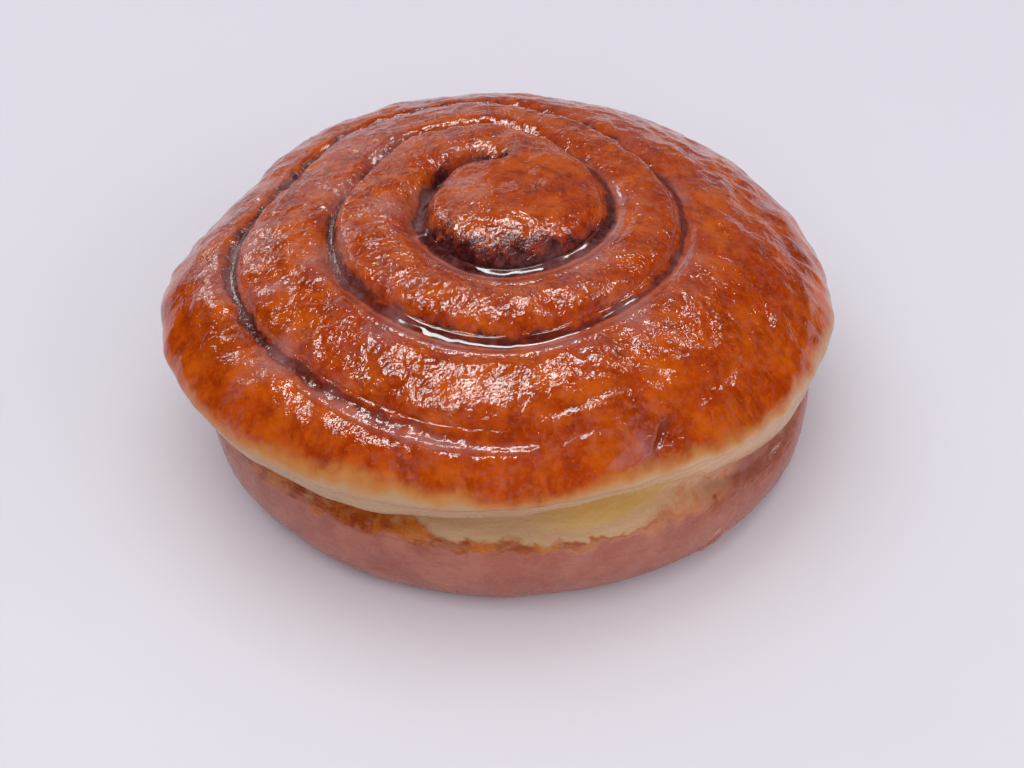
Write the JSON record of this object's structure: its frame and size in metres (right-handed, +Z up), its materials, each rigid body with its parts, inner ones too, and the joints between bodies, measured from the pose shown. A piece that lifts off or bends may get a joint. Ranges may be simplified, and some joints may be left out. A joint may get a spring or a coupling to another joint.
{
  "type": "cinnamon roll",
  "caption": "Glazed fried cinnamon roll: a strip of yeast dough wound in a spiral round a thin filling, with a domed crown, a pale waist and a flat base to rest on.",
  "frame": {"origin": "middle of the flat base, on the surface that the roll rests on", "axes": "+Z up through the crown, -Y towards the side that the picture shows, +X to the right seen from that side"},
  "size_m": [0.1213, 0.1198, 0.0505],
  "materials": {
    "glazed_crust": "deep-fried yeast crust under a wet sugar glaze, pale cream at the waist",
    "cinnamon": "dark cinnamon filling, moist"
  },
  "bodies": {
    "root": {"dough": "glazed_crust", "cinnamon_filling": "cinnamon"}
  },
  "joints": []
}
